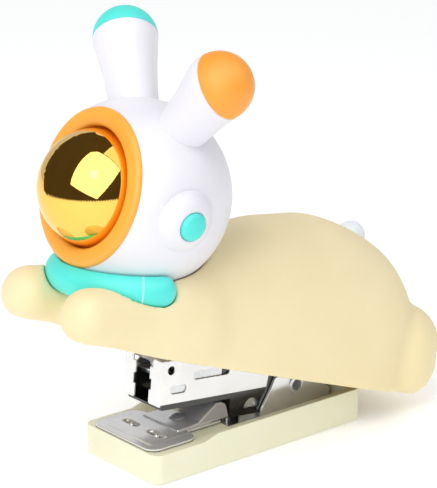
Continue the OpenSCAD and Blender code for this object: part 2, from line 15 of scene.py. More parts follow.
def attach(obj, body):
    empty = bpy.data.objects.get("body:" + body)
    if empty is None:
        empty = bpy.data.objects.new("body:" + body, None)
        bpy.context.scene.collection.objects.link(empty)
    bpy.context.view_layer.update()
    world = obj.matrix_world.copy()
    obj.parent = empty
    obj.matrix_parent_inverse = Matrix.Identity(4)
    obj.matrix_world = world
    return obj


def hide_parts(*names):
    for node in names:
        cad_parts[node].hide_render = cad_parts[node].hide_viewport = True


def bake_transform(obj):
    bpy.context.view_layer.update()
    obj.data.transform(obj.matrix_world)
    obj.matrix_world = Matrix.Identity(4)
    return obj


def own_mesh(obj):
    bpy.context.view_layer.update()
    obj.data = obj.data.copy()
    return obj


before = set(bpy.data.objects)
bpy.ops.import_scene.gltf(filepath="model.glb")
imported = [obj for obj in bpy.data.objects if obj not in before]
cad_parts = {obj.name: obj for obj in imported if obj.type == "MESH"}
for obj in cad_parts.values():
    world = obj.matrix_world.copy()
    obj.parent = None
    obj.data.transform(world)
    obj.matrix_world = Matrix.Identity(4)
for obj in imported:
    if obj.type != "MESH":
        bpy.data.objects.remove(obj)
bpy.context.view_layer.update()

MM = 0.001
PIN = Vector((16.5, 0, 11.4))
MAG_PITCH = 5.5
COVER_PITCH = 19.0
HEAD_X, HEAD_Z, HEAD_R = 59.2, 37.0, 22.2
HEAD_AT = (-HEAD_X, 0, HEAD_Z)
HEAD_NOD, HEAD_ROLL = 2.4, 10.2
HEM_Z = 3.4


def turn(degrees, axis):
    """A turn about an axis through the origin."""
    return Matrix.Rotation(math.radians(degrees), 4, axis)


WORLD = Matrix.Identity(4)
COVER = Matrix.Translation(PIN) @ turn(COVER_PITCH, "Y")
MAGAZINE = Matrix.Translation(PIN) @ turn(MAG_PITCH, "Y")
HEAD = COVER @ Matrix.Translation(HEAD_AT) @ turn(-HEAD_NOD, "Y") @ turn(HEAD_ROLL, "X")


# ---------------------------------------------------------------- meshes
def soften(bm, angle=38):
    """Smooth shading with hard edges kept where faces meet at more than the angle."""
    for f in bm.faces:
        f.smooth = True
    for e in bm.edges:
        if len(e.link_faces) == 2:
            e.smooth = e.calc_face_angle(0) < math.radians(angle)


def new_piece(name, bm, place, material, body, stands_for=(), angle=38):
    """A finished piece in world metres, riding on its body."""
    bmesh.ops.recalc_face_normals(bm, faces=bm.faces)
    soften(bm, angle)
    mesh = bpy.data.meshes.new(name)
    bm.to_mesh(mesh)
    bm.free()
    mesh.transform(Matrix.Scale(MM, 4) @ place)
    mesh.materials.append(material)
    piece = bpy.data.objects.new(name, mesh)
    bpy.context.scene.collection.objects.link(piece)
    if body:
        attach(piece, body)
    if stands_for:
        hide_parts(*stands_for)
    return piece


def crisp(piece, limit=50):
    """Keeps flat sheet flat and rounds only its eased edges: each corner takes the mean normal, by area,
    of the faces round it that turn less than the limit."""
    bm = bmesh.new()
    bm.from_mesh(piece.data)
    area = [f.calc_area() for f in bm.faces]
    bm.faces.ensure_lookup_table()
    least = math.cos(math.radians(limit))
    normals = []
    for f in bm.faces:
        for corner in f.loops:
            total = Vector()
            for g in corner.vert.link_faces:
                if g.normal.dot(f.normal) > least:
                    total += g.normal * area[g.index]
            normals.append(total.normalized() if total.length > 0 else f.normal.copy())
    bm.free()
    piece.data.normals_split_custom_set(normals)
    return piece


def turned(profile, steps=128, axis="Z"):
    """A closed profile of (radius, height) points turned about an axis."""
    bm = bmesh.new()
    rings = []
    for r, h in profile:
        if r < 1e-6:
            rings.append([bm.verts.new((0, 0, h))] * steps)
        else:
            rings.append([bm.verts.new((r * math.cos(2 * math.pi * i / steps),
                                        r * math.sin(2 * math.pi * i / steps), h)) for i in range(steps)])
    for a, b in zip(rings, rings[1:] + rings[:1]):
        for i in range(steps):
            j = (i + 1) % steps
            corners = []
            for v in (a[i], a[j], b[j], b[i]):
                if v not in corners:
                    corners.append(v)
            if len(corners) > 2:
                bm.faces.new(corners)
    if axis == "-X":
        bm.transform(turn(-90, "Y"))
    elif axis == "-Y":
        bm.transform(turn(90, "X"))
    elif axis == "Y":
        bm.transform(turn(-90, "X"))
    return bm


def arc(radius, start, end, count, centre=(0.0, 0.0)):
    """Points of an arc in (radius, height), angles in degrees from the axis."""
    out = []
    for i in range(count + 1):
        a = math.radians(start + (end - start) * i / count)
        out.append((centre[0] + radius * math.sin(a), centre[1] + radius * math.cos(a)))
    return out


# ---------------------------------------------------------------- soft forms
def melt(a, b, k):
    """Union of two distances with a fillet of about k."""
    h = np.clip(0.5 + 0.5 * (b - a) / k, 0, 1)
    return b * (1 - h) + a * h - k * h * (1 - h)


def carve(a, b, k):
    """a with b taken away, its edge rounded by about k."""
    return -melt(-a, b, k)


def ball(p, centre, r):
    """Distance to a ball."""
    return np.linalg.norm(p - np.asarray(centre, float), axis=1) - r


def capsule(p, a, b, r):
    """Distance to a rod with round ends at a and b."""
    a, b = np.asarray(a, float), np.asarray(b, float)
    t = np.clip((p - a) @ (b - a) / np.dot(b - a, b - a), 0, 1)
    return np.linalg.norm(p - a - t[:, None] * (b - a), axis=1) - r


def brick(p, low, high, r=0.0):
    """Distance to a box between two corners, its edges rounded by r."""
    low, high = np.asarray(low, float), np.asarray(high, float)
    q = np.abs(p - (low + high) / 2) - (high - low) / 2 + r
    return np.linalg.norm(np.maximum(q, 0), axis=1) + np.minimum(q.max(1), 0) - r


def smooth_line(points, spread):
    """A table of (x, value) points as a softly rounded curve."""
    xs, ys = zip(*points)
    fine = np.linspace(xs[0], xs[-1], 400)
    step = fine[1] - fine[0]
    reach = int(3 * spread / step)
    weights = np.exp(-0.5 * (np.arange(-reach, reach + 1) * step / spread) ** 2)
    padded = np.pad(np.interp(fine, xs, ys), reach, mode="edge")
    values = np.convolve(padded, weights / weights.sum(), mode="valid")
    return lambda x: np.interp(x, fine, values)


def skin(distance, low, high, step):
    """The closed surface where distance is zero, as a quad mesh."""
    axes = [np.arange(a, b + step, step) for a, b in zip(low, high)]
    grid = np.stack(np.meshgrid(*axes, indexing="ij"), -1)
    d = distance(grid.reshape(-1, 3)).reshape(grid.shape[:3])
    solid = d < 0
    nx, ny, nz = d.shape
    offsets = [(i, j, k) for i in (0, 1) for j in (0, 1) for k in (0, 1)]

    def corner(a, o):
        return a[o[0]:nx - 1 + o[0], o[1]:ny - 1 + o[1], o[2]:nz - 1 + o[2]]

    count = sum(corner(solid, o).astype(np.int8) for o in offsets)
    cells = np.argwhere((count > 0) & (count < 8))
    index = -np.ones((nx - 1, ny - 1, nz - 1), np.int64)
    index[tuple(cells.T)] = np.arange(len(cells))
    total = np.zeros((len(cells), 3))
    hits = np.zeros(len(cells))
    for a in offsets:
        for axis in range(3):
            if a[axis]:
                continue
            b = tuple(v + (i == axis) for i, v in enumerate(a))
            da = d[tuple((cells + a).T)]
            db = d[tuple((cells + b).T)]
            cross = (da < 0) != (db < 0)
            t = np.where(cross, da / np.where(cross, da - db, 1), 0)
            point = np.tile(np.asarray(a, float), (len(cells), 1))
            point[:, axis] += t
            total += point * cross[:, None]
            hits += cross
    points = np.asarray(low, float) + (cells + total / hits[:, None]) * step
    faces = []
    for axis in range(3):
        u, v = (axis + 1) % 3, (axis + 2) % 3
        lo = [slice(None)] * 3
        hi = [slice(None)] * 3
        lo[axis], hi[axis] = slice(0, -1), slice(1, None)
        edges = np.argwhere(solid[tuple(lo)] != solid[tuple(hi)])
        edges = edges[(edges[:, u] > 0) & (edges[:, v] > 0)
                      & (edges[:, u] < d.shape[u] - 1) & (edges[:, v] < d.shape[v] - 1)]
        ring = []
        for du, dv in ((-1, -1), (0, -1), (0, 0), (-1, 0)):
            c = edges.copy()
            c[:, u] += du
            c[:, v] += dv
            ring.append(index[tuple(c.T)])
        quads = np.stack(ring, 1)
        flip = ~solid[tuple(edges.T)]
        quads[flip] = quads[flip][:, ::-1]
        faces.append(quads)
    faces = np.concatenate(faces)
    for _ in range(3):
        value = distance(points)
        slope = np.stack([distance(points + e) - distance(points - e)
                          for e in 0.05 * np.eye(3)], 1) / 0.1
        length = np.maximum((slope ** 2).sum(1), 0.05)
        points = points - np.clip(value / length, -step, step)[:, None] * slope
    return points, faces


def cell(fine):
    return fine


def skin_piece(name, distance, low, high, step, place, material, body, stands_for):
    """A finished piece whose surface is where the distance is zero, searched between two corners."""
    points, faces = skin(distance, low, high, step)
    mesh = bpy.data.meshes.new(name)
    mesh.vertices.add(len(points))
    mesh.vertices.foreach_set("co", points.ravel().astype(np.float32))
    mesh.loops.add(faces.size)
    mesh.loops.foreach_set("vertex_index", faces.ravel().astype(np.int32))
    mesh.polygons.add(len(faces))
    mesh.polygons.foreach_set("loop_start", np.arange(0, faces.size, 4, dtype=np.int32))
    mesh.polygons.foreach_set("loop_total", np.full(len(faces), 4, np.int32))
    mesh.update(calc_edges=True)
    mesh.validate()
    bm = bmesh.new()
    bm.from_mesh(mesh)
    bpy.data.meshes.remove(mesh)
    return new_piece(name, bm, place, material, body, stands_for, angle=55)


# ---------------------------------------------------------------- finishes
def node_group(name, outputs):
    """An empty shader group with the given outputs."""
    group = bpy.data.node_groups.new(name, "ShaderNodeTree")
    for label, kind in outputs:
        group.interface.new_socket(label, in_out="OUTPUT", socket_type=kind)
    return group


def grain_group(name, fine, coarse, height):
    """Shade: slow unevenness, 0 to 1. Speck: fine grain, 0 to 1. Normal: the grain as relief."""
    group = node_group(name, [("Shade", "NodeSocketFloat"), ("Speck", "NodeSocketFloat"),
                              ("Normal", "NodeSocketVector")])
    n, link = group.nodes, group.links
    out = n.new("NodeGroupOutput")
    where = n.new("ShaderNodeTexCoord")
    slow = n.new("ShaderNodeTexNoise")
    slow.inputs["Scale"].default_value = coarse
    slow.inputs["Detail"].default_value = 3
    quick = n.new("ShaderNodeTexNoise")
    quick.inputs["Scale"].default_value = fine
    quick.inputs["Detail"].default_value = 2
    bump = n.new("ShaderNodeBump")
    bump.inputs["Strength"].default_value = height
    bump.inputs["Distance"].default_value = 0.0001
    for noise in (slow, quick):
        link.new(where.outputs["Object"], noise.inputs["Vector"])
    link.new(quick.outputs["Fac"], bump.inputs["Height"])
    link.new(slow.outputs["Fac"], out.inputs["Shade"])
    link.new(quick.outputs["Fac"], out.inputs["Speck"])
    link.new(bump.outputs["Normal"], out.inputs["Normal"])
    return group


SOFT_TOUCH = grain_group("soft_touch_grain", 5200, 38, 0.16)
SATIN_MOULD = grain_group("satin_mould_grain", 3600, 30, 0.08)
PLATED = grain_group("plated_sheet_grain", 900, 120, 0.015)
POLISH = grain_group("polish_haze", 2400, 60, 0.02)


def colour_mix(tree, factor, a, b, low=0.3, high=0.7):
    """Colours a and b mixed by a 0 to 1 value, stretched between low and high."""
    span = tree.nodes.new("ShaderNodeMapRange")
    span.inputs["From Min"].default_value = low
    span.inputs["From Max"].default_value = high
    mix = tree.nodes.new("ShaderNodeMix")
    mix.data_type = "RGBA"
    mix.inputs["A"].default_value = (*a, 1) if isinstance(a, tuple) else (0, 0, 0, 1)
    mix.inputs["B"].default_value = (*b, 1) if isinstance(b, tuple) else (0, 0, 0, 1)
    tree.links.new(factor, span.inputs["Value"])
    tree.links.new(span.outputs["Result"], mix.inputs["Factor"])
    for socket, given in (("A", a), ("B", b)):
        if not isinstance(given, tuple):
            tree.links.new(given, mix.inputs[socket])
    return mix.outputs["Result"]


def value_mix(tree, factor, low_value, high_value):
    """A 0 to 1 value spread from low_value to high_value."""
    span = tree.nodes.new("ShaderNodeMapRange")
    span.inputs["From Min"].default_value = 0.3
    span.inputs["From Max"].default_value = 0.7
    span.inputs["To Min"].default_value = low_value
    span.inputs["To Max"].default_value = high_value
    tree.links.new(factor, span.inputs["Value"])
    return span.outputs["Result"]


def finish(name, grain, pale, deep, rough, metallic=0.0, soft=0.0, coat=0.0):
    """A procedural finish: colour wanders between pale and deep, roughness between two values."""
    mat = bpy.data.materials.new(name)
    mat.use_nodes = True
    tree = mat.node_tree
    shader = tree.nodes["Principled BSDF"]
    look = tree.nodes.new("ShaderNodeGroup")
    look.node_tree = grain
    colour = colour_mix(tree, look.outputs["Shade"], pale, deep)
    tree.links.new(colour, shader.inputs["Base Color"])
    tree.links.new(value_mix(tree, look.outputs["Speck"], *rough), shader.inputs["Roughness"])
    tree.links.new(look.outputs["Normal"], shader.inputs["Normal"])
    shader.inputs["Metallic"].default_value = metallic
    if soft:
        shader.inputs["Subsurface Weight"].default_value = soft
        shader.inputs["Subsurface Radius"].default_value = (1.0, 0.7, 0.4)
        shader.inputs["Subsurface Scale"].default_value = 0.003
    if coat:
        shader.inputs["Coat Weight"].default_value = coat
        shader.inputs["Coat Roughness"].default_value = 0.08
    return mat


SATIN = (0.36, 0.46)
PLATED_GLOSS = (0.15, 0.24)
CYAN_SHADES = ((0.10, 0.82, 0.74), (0.08, 0.77, 0.70))
NICKEL_SHADES = ((0.93, 0.93, 0.94), (0.87, 0.87, 0.89))
NICKEL_METAL = 0.62

CREAM = finish("cover_soft_touch", SOFT_TOUCH, (0.90, 0.78, 0.49), (0.86, 0.73, 0.43),
               (0.50, 0.62), soft=0.12)
BASE_CREAM = finish("base_satin_cream", SATIN_MOULD, (0.86, 0.85, 0.66), (0.82, 0.81, 0.60),
                    (0.36, 0.48), soft=0.10)
WHITE = finish("helmet_satin_white", SATIN_MOULD, (0.84, 0.83, 0.88), (0.80, 0.79, 0.85), SATIN, soft=0.08)
TAIL_WHITE = finish("tail_white", SATIN_MOULD, (0.84, 0.87, 0.92), (0.80, 0.84, 0.90),
                    (0.40, 0.50), soft=0.08)
ORANGE = finish("visor_ring_orange", SATIN_MOULD, (1.0, 0.44, 0.055), (0.98, 0.39, 0.04),
                (0.34, 0.44), soft=0.10)
CAP_ORANGE = finish("ear_cap_orange", SATIN_MOULD, (1.0, 0.40, 0.045), (0.98, 0.34, 0.03),
                    (0.34, 0.44), soft=0.10)
CYAN = finish("trim_cyan", SATIN_MOULD, *CYAN_SHADES, SATIN, soft=0.10)
GOLD = finish("visor_mirror_gold", POLISH, (0.99, 0.63, 0.14), (0.95, 0.59, 0.12),
              (0.02, 0.05), metallic=1.0)
STEEL = finish("bright_plated_steel", PLATED, *NICKEL_SHADES, PLATED_GLOSS, metallic=NICKEL_METAL)
SPRING = finish("spring_steel", PLATED, (0.62, 0.64, 0.67), (0.54, 0.56, 0.60), (0.22, 0.34), metallic=1.0)
BLACK = finish("black_rail_steel", PLATED, (0.012, 0.012, 0.013), (0.02, 0.02, 0.022),
               (0.16, 0.28), coat=0.6)


def paint_shade_below(mat, low, high, colour):
    """Paints shade into the finish: it falls to a dark colour between two heights in millimetres, darkest
    below the lower one, as painted shade in a recess.
    """
    tree = mat.node_tree
    shader = tree.nodes["Principled BSDF"]
    place = tree.nodes.new("ShaderNodeTexCoord")
    split = tree.nodes.new("ShaderNodeSeparateXYZ")
    tree.links.new(place.outputs["Object"], split.inputs["Vector"])
    was = shader.inputs["Base Color"].links[0].from_socket
    mixed = colour_mix(tree, split.outputs["Z"], colour, was, low * MM, high * MM)
    tree.links.new(mixed, shader.inputs["Base Color"])


# painted shade: below 7.5 to 7.9 mm the anvil steel turns near black, darkening its pocket floors and the
# underside of its rim
ANVIL_STEEL_PAINTED_SHADE = finish("pressed_anvil_steel_painted_shade", PLATED, *NICKEL_SHADES, PLATED_GLOSS, metallic=NICKEL_METAL)
paint_shade_below(ANVIL_STEEL_PAINTED_SHADE, 7.5, 7.9, (0.05, 0.05, 0.052))
RUBBER = finish("pad_rubber", SOFT_TOUCH, (0.045, 0.045, 0.047), (0.03, 0.03, 0.032), (0.70, 0.85))
WIRE = finish("staple_wire_zinc", PLATED, (0.74, 0.75, 0.77), (0.66, 0.67, 0.70), (0.20, 0.30), metallic=1.0)


# ---------------------------------------------------------------- rabbit cover
CHEST_Z = 12.0
TAIL_AT = (13.2, 0, 39.2)
TAIL_R = 3.7
# along the cover: how far back, and how high the back's ridge stands or how wide the flank reaches
SPINE = smooth_line([(-72, 19), (-60, 23), (-50, 26.3), (-42, 29.2), (-29.6, 33.2), (-24, 36.0),
                     (-18.3, 38.5), (-12.2, 39.8), (-8, 40.7), (-3, 42.0), (3.5, 41.6), (10, 40.4),
                     (16.3, 38.7), (20, 37.3), (24.5, 34.9), (29.8, 31.4), (36, 27.5), (44, 22)], 2.0)
FLANK = smooth_line([(-70, 16.5), (-60, 17.5), (-50, 19), (-36, 20.6), (-10, 21.6), (12, 22), (30, 21),
                     (40, 20)], 4)
TORSO_POWER = 2.4
TORSO_BELOW = 24.0
TAIL_END_X, TAIL_END_LONG = 12, 24.0
CHEST_X, CHEST_LONG = -50, 15.0


def torso(p):
    """The rabbit's body without its limbs: rounded sections along the spine, closed at both ends."""
    x, y, z = p.T
    up = np.where(z > CHEST_Z, SPINE(x) - CHEST_Z, TORSO_BELOW)
    behind = np.maximum(x - TAIL_END_X, 0)
    ahead = np.maximum(CHEST_X - x, 0)
    shares = (np.abs(y) / FLANK(x), np.abs(z - CHEST_Z) / up, behind / TAIL_END_LONG, ahead / CHEST_LONG)
    reach = sum(share ** TORSO_POWER for share in shares) ** (1 / TORSO_POWER)
    span = np.sqrt(y ** 2 + (z - CHEST_Z) ** 2 + behind ** 2 + ahead ** 2)
    return np.where(reach > 1e-3, span * (1 - 1 / np.maximum(reach, 1e-3)), -10)


SCARF_R = 3.9
SCARF_STEPS = np.radians(np.linspace(-76, 76, 41))
SCARF_PATH = np.stack([-54.6 - 15.2 * np.cos(SCARF_STEPS), 15.9 * np.sin(SCARF_STEPS),
                       15.6 + 3.2 * (1 - np.cos(SCARF_STEPS))], 1)


def scarf_roll(p, grow=0.0):
    """Distance to the scarf: a thick roll that follows its path round the chest."""
    best = np.full(len(p), 50.0)
    near = (np.abs(p[:, 2] - 16) < 12) & (p[:, 0] < -42) & (p[:, 0] > -80)
    q = p[near]
    found = np.full(len(q), 50.0)
    for a, b in zip(SCARF_PATH, SCARF_PATH[1:]):
        found = np.minimum(found, capsule(q, a, b, SCARF_R + grow))
    best[near] = found
    return best


PAW_TIP, SHOULDER = np.array((-72.4, 11.7, 9.3)), np.array((-46.0, 12.0, 12.0))
PAW_R, SHOULDER_R = 6.4, 8.5
FOOT_TOP, FOOT_LOW, FOOT_R = (27.6, 12.5, 15.8), (28.5, 12.5, 11.2), 10.0


def paw(p):
    """A paw that widens from its tip into the shoulder."""
    run = SHOULDER - PAW_TIP
    t = np.clip((p - PAW_TIP) @ run / np.dot(run, run), 0, 1)
    return np.linalg.norm(p - PAW_TIP - t[:, None] * run, axis=1) - PAW_R - (SHOULDER_R - PAW_R) * t


def rabbit_outside(p):
    """Torso, paws and hind feet, the same on both sides."""
    q = np.abs(p * (0, 1, 0)) + p * (1, 0, 1)
    shape = melt(torso(q), paw(q), 5.0)
    return melt(shape, capsule(q, FOOT_TOP, FOOT_LOW, FOOT_R), 2.0)


def rabbit_cavity(p):
    """The stepped hollow over the mechanism, with the two screw posts left standing."""
    hollow = brick(p, (-62, -13.5, -4), (-47, 13.5, 11.5), 1.2)
    hollow = melt(hollow, brick(p, (-49, -17, -4), (-36, 17, 14.5), 1.2), 0.4)
    hollow = melt(hollow, brick(p, (-38, -17, -4), (26, 17, 22), 1.5), 0.4)
    hollow = melt(hollow, brick(p, (-22, -11, 10), (14, 11, 31), 2.5), 0.6)
    for x in (-32, -20):
        post = np.hypot(p[:, 0] - x, p[:, 1]) - 3.0
        hollow = carve(hollow, np.maximum(post, 13.0 - p[:, 2]), 0.5)
    return hollow


def rabbit_shell(p):
    """The cover cut level at its hem, with seats for head, scarf and tail."""
    shape = carve(rabbit_outside(p), p[:, 2] - HEM_Z, 1.0)
    seat = melt(ball(p, HEAD_AT, HEAD_R + 0.22), scarf_roll(p, 0.15), 2.0)
    shape = carve(shape, seat, 0.7)
    shape = carve(shape, ball(p, TAIL_AT, TAIL_R + 0.2), 0.4)
    return carve(shape, rabbit_cavity(p), 0.8)


skin_piece("rabbit_cover", rabbit_shell, (-82, -25, 1), (43, 25, 45), cell(0.62), COVER, CREAM,
           "handle", ["body_shell"])


# ---------------------------------------------------------------- scarf and tail
def scarf_form(p):
    """The scarf, hollowed where the helmet rests on it."""
    return carve(scarf_roll(p), ball(p, HEAD_AT, HEAD_R + 0.12), 0.9)


def pale_seam(mat, colour, point, direction, half_width):
    """A fine moulding seam across a piece, where a plane through point cuts its near side."""
    tree = mat.node_tree
    shader = tree.nodes["Principled BSDF"]
    place = tree.nodes.new("ShaderNodeTexCoord")
    along = tree.nodes.new("ShaderNodeVectorMath")
    along.operation = "DOT_PRODUCT"
    along.inputs[1].default_value = direction
    tree.links.new(place.outputs["Object"], along.inputs[0])
    off = tree.nodes.new("ShaderNodeMath")
    off.operation = "SUBTRACT"
    off.inputs[1].default_value = point.dot(direction)
    tree.links.new(along.outputs["Value"], off.inputs[0])
    away = tree.nodes.new("ShaderNodeMath")
    away.operation = "ABSOLUTE"
    tree.links.new(off.outputs["Value"], away.inputs[0])
    was = shader.inputs["Base Color"].links[0].from_socket
    tree.links.new(colour_mix(tree, away.outputs["Value"], colour, was, 0.5 * half_width, half_width),
                   shader.inputs["Base Color"])


SCARF_CYAN = finish("scarf_cyan", SATIN_MOULD, *CYAN_SHADES, SATIN, soft=0.10)
seam_at = 4
seam_point = COVER @ Vector(SCARF_PATH[seam_at])
before, after = (COVER @ Vector(SCARF_PATH[seam_at + step]) for step in (-1, 1))
seam_run = (after - before).normalized()
pale_seam(SCARF_CYAN, (0.45, 0.95, 0.92), seam_point * MM, seam_run, 0.22 * MM)
skin_piece("scarf_roll", scarf_form, (-76, -22, 7), (-46, 22, 26), cell(0.4), COVER, SCARF_CYAN,
           "handle", ["scarf"])
new_piece("tail_ball", turned(arc(TAIL_R, 0, 180, 40), 80), COVER @ Matrix.Translation(TAIL_AT), TAIL_WHITE,
          "handle", ["tail"])


# ---------------------------------------------------------------- head
RING_R = 18.05
RING_FRONT = math.sqrt(HEAD_R ** 2 - RING_R ** 2)
DOME_R = 13.5
DOME_MIDDLE = RING_FRONT - 2.1
HELMET_WALL = 2.2

ring_edge = math.degrees(math.asin(RING_R / HEAD_R))
helmet_profile = arc(HEAD_R, ring_edge + 0.3, 180, 90)
helmet_profile += arc(HEAD_R - HELMET_WALL, 180, 58.5, 60)
helmet_profile += [(16.9, 10.6), (16.9, 12.4)]
new_piece("helmet", turned(helmet_profile, 160, "-X"), HEAD, WHITE, "handle",
          ["head_shell"])

ring_profile = [(18.0, 12.8), (18.02, 13.15), (17.9, 13.5), (17.6, 13.82), (17.1, 14.05), (16.5, 14.16),
                (15.7, 14.18), (15.0, 14.1), (14.5, 13.95), (14.1, 13.72), (13.86, 13.4), (13.76, 12.9),
                (13.74, 11.55), (16.7, 11.55), (16.7, 12.8)]
new_piece("visor_ring_moulding", turned(ring_profile, 160, "-X"), HEAD, ORANGE, "handle",
          ["visor_ring"])

dome_profile = arc(DOME_R, 0, 87, 60)
dome_profile += [(DOME_R + 1.4, 0.62), (DOME_R + 1.4, -0.1), (DOME_R - 1.6, -0.1)]
dome_profile += arc(DOME_R - 1.0, 89, 0, 40)
dome_profile = [(r, h + DOME_MIDDLE) for r, h in dome_profile]
new_piece("visor_mirror", turned(dome_profile, 160, "-X"), HEAD, GOLD, "handle",
          ["visor_dome"])

EAR_REACH, EAR_LEAN, EAR_TIP_R, EAR_ROOT_R = 36.4, 30.0, 7.6, 5.6
EAR_TIP = (-2.6, EAR_REACH * math.sin(math.radians(EAR_LEAN)), EAR_REACH * math.cos(math.radians(EAR_LEAN)))
EAR_ROOT = (-0.9, 7.5, 16.2)
EAR_SINK = -4.0
EAR_WAIST = 0.45
CAP_TILT = (0.18, 0.74, 0.645)
CAP_GAP = 0.03


def ear_pieces(side, letter, cap_material, cap_slot):
    """An ear split where its coloured cap begins. side is -1 for the rabbit's left, 1 for its right."""
    root, tip, cut = (Vector((x, side * y, z)) for x, y, z in (EAR_ROOT, EAR_TIP, CAP_TILT))
    length = (tip - root).length
    profile = [(0.0, EAR_SINK), (EAR_ROOT_R + 0.1, EAR_SINK)]
    for i in range(21):
        h = EAR_SINK + i / 20 * (length - 1.1 - EAR_SINK)
        swell = EAR_ROOT_R + (EAR_TIP_R - EAR_ROOT_R) * max(h, 0) / (length - 1.0)
        profile.append((swell - EAR_WAIST * math.sin(math.pi * max(h, 0) / length), h))
    profile += arc(EAR_TIP_R, 97, 0, 40, (0.0, length))
    spin = (tip - root).to_track_quat("Z", "Y").to_matrix().to_4x4()
    cut.normalize()
    for part, node, material, slot, outward in (("horn", "ear_" + letter, WHITE, "helmet_plastic", 1),
                                                ("tip", "ear_cap_" + letter, cap_material, cap_slot, -1)):
        bm = turned(profile, 112)
        bm.transform(Matrix.Translation(root) @ spin)
        got = bmesh.ops.bisect_plane(bm, geom=bm.verts[:] + bm.edges[:] + bm.faces[:],
                                     plane_co=tip - outward * CAP_GAP * cut, plane_no=outward * cut,
                                     clear_outer=True, dist=1e-5)
        rim = [e for e in got["geom_cut"] if isinstance(e, bmesh.types.BMEdge)]
        bmesh.ops.contextual_create(bm, geom=rim)
        bmesh.ops.bevel(bm, geom=rim, offset=0.14, segments=2, profile=0.5, affect="EDGES")
        new_piece("ear_" + letter + "_" + part, bm, HEAD, material, "handle", [node], angle=50)


ear_pieces(-1, "left", CAP_ORANGE, "visor_orange")
ear_pieces(1, "right", CYAN, "trim_cyan")

cup_profile = [(0.0, 20.4), (7.4, 20.4), (7.5, 20.85), (7.2, 21.02), (6.9, 21.25), (6.6, 21.6), (6.2, 22.05),
               (5.7, 22.5), (5.1, 22.95), (4.5, 23.3), (3.9, 23.6), (3.55, 23.72), (3.35, 23.6), (3.3, 23.1),
               (0.0, 23.1)]
button_profile = [(0.0, 23.2), (3.2, 23.2), (3.22, 23.6), (3.15, 24.0), (2.9, 24.4), (2.4, 24.72),
                  (1.7, 24.95), (0.9, 25.07), (0.0, 25.1)]
at = HEAD @ Matrix.Translation((-1.2, 0, 1.2))
for letter, axis in (("left", "-Y"), ("right", "Y")):
    new_piece("earphone_" + letter + "_dish", turned(cup_profile, 96, axis), at, WHITE, "handle",
              ["earphone_cup_" + letter], angle=60)
    new_piece("earphone_" + letter + "_dot", turned(button_profile, 72, axis), at, CYAN, "handle",
              ["earphone_button_" + letter], angle=60)


# ---------------------------------------------------------------- moulded and pressed parts
def eased(node, name, edge, material, body, steps=2, sharp=32):
    """A CAD part with its hard edges eased by a small radius."""
    bm = bmesh.new()
    bm.from_mesh(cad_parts[node].data)
    bm.transform(Matrix.Scale(1 / MM, 4))
    bmesh.ops.remove_doubles(bm, verts=bm.verts, dist=0.002)
    bmesh.ops.dissolve_limit(bm, angle_limit=math.radians(0.6), verts=bm.verts, edges=bm.edges)
    hard = [e for e in bm.edges if len(e.link_faces) == 2 and e.calc_face_angle(0) > math.radians(sharp)]
    bmesh.ops.bevel(bm, geom=hard, offset=edge, segments=steps, profile=0.5, affect="EDGES",
                    clamp_overlap=True)
    bmesh.ops.triangulate(bm, faces=[f for f in bm.faces if len(f.verts) > 4])
    return crisp(new_piece(name, bm, WORLD, material, body, [node]))


eased("base_block", "base_moulding", 0.9, BASE_CREAM, "base", 4, 50)
eased("base_pad", "foot_pad", 0.3, RUBBER, "base")


ANVIL_X, ANVIL_HALF, ANVIL_CORNER = -25.65, (3.95, 9.05), 3.0
NECK_X, NECK_HALF = -15.0, (7.0, 7.5)
SHEET_Z, SHEET_HALF = 7.80, 0.30
TABLE_FLOOR, TABLE_TOP = 7.5, 8.34
POCKET_X, POCKET_Z, POCKET_R = -25.6, 8.75, 1.12
POCKET_INNER, POCKET_OUTER = 2.9, 6.7
HUMP_Z, HUMP_R = 7.75, 0.62


def anvil_form(p):
    """The plate under the jaw: a rim, a raised table with two clinching pockets, and a neck to the tray."""
    x, y, z = p.T
    corner = np.maximum(np.abs(np.stack([x - ANVIL_X, y], 1)) - ANVIL_HALF, 0)
    plan = np.linalg.norm(corner, axis=1) - ANVIL_CORNER
    neck = np.maximum(np.abs(x - NECK_X) - NECK_HALF[0], np.abs(y) - NECK_HALF[1])
    outline = np.minimum(plan, neck)
    rim = np.maximum(outline, np.abs(z - SHEET_Z) - SHEET_HALF)
    table = brick(p, (-31.3, -9.6, 7.2), (-10.0, 9.6, TABLE_TOP), 1.2)
    table = np.maximum(table, outline + 0.1)
    shape = melt(rim, np.maximum(np.maximum(table, z - TABLE_TOP), TABLE_FLOOR - z), 0.25)
    for side in (-1, 1):
        inner = (POCKET_X, side * POCKET_INNER, POCKET_Z)
        outer = (POCKET_X, side * POCKET_OUTER, POCKET_Z)
        hump = ball(p, (POCKET_X, side * (POCKET_INNER + POCKET_OUTER) / 2, HUMP_Z), HUMP_R)
        shape = melt(carve(shape, capsule(p, inner, outer, POCKET_R), 0.15), hump, 0.2)
    return shape


HOOD_FRONT, HOOD_BACK = -21, -5.2
HOOD_TOP, HOOD_FOOT = 12.1, 8.30
HOOD_HALF, HOOD_SLANT = 7.0, 0.35
HOOD_SHEET = 0.42
HOOD_HOLE_X, HOOD_HOLE_R = -15.5, 1.7
# a height or a width measured square to the sloping roof or flank
ROOF_SQUARE, FLANK_SQUARE = 0.93, 0.94


def hood_roof(x):
    """Height of the hood's roof along the stapler."""
    return np.interp(x, (HOOD_FRONT, -16.5, -14.2, -8.0, -6.4, HOOD_BACK),
                     (8.72, 8.78, 9.05, HOOD_TOP, HOOD_TOP - 0.1, HOOD_TOP - 0.9))


